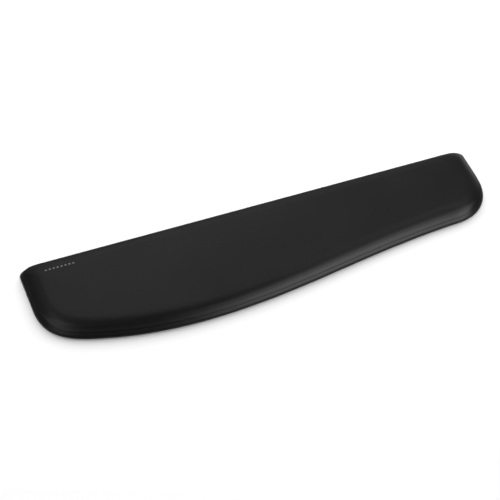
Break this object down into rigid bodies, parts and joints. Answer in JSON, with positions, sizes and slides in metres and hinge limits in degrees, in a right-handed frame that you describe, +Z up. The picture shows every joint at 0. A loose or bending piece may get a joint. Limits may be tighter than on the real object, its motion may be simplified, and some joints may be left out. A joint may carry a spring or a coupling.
{
  "type": "wrist rest",
  "caption": "Long low keyboard wrist rest: soft gel and foam cushion under a satin skin, on a rimmed tray with a flat non-slip base; straight back edge, curved front edge.",
  "frame": {"origin": "on the desk, under the middle of the object's bounding box", "axes": "+X along the rest, to the right of the person using it; +Y away from that person, towards the keyboard; +Z up"},
  "size_m": [0.445, 0.115, 0.013],
  "materials": {
    "cover_skin": "satin black polyurethane skin, very fine grain",
    "binding": "matt black woven band",
    "gel": "soft translucent gel, dark",
    "film": "thin clear polyurethane film, slightly milky",
    "foam": "dark grey open-cell foam",
    "adhesive": "pale amber double-sided adhesive sheet",
    "tray": "satin black moulded plastic, fine texture",
    "rubber_sheet": "matt black textured non-slip rubber"
  },
  "bodies": {
    "root": {"top_cover": "cover_skin", "hem_strip": "binding", "gel_pad": "gel", "gel_film": "film", "foam_core": "foam", "upper_adhesive": "adhesive", "base_tray": "tray", "lower_adhesive": "adhesive", "rubber_base": "rubber_sheet"}
  },
  "joints": []
}
